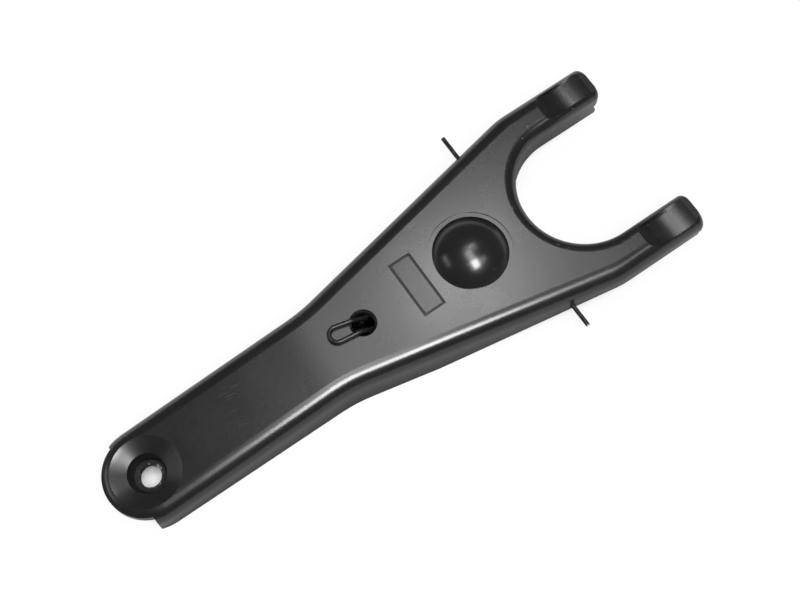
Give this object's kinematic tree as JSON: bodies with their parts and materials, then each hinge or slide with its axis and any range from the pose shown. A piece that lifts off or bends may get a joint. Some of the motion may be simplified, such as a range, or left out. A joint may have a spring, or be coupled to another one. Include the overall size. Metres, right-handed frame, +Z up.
{
  "type": "clutch release fork",
  "caption": "Pressed-steel release lever of channel section with a domed pivot seat, a push-rod cup and a forked end, kept on its ball stud by a bent wire spring clip.",
  "frame": {"origin": "centre of the pivot ball, on the axis of the domed seat, 9.5 mm under the flat top", "axes": "+X from the push-rod end to the prongs, +Z up through the dome, flanges down, +Y to the left"},
  "size_m": [0.2575, 0.1009, 0.0288],
  "materials": {
    "black_paint": "gloss black paint",
    "spring_wire": "satin black"
  },
  "bodies": {
    "root": {"fork_body": "black_paint", "retaining_spring": "spring_wire"}
  },
  "joints": []
}
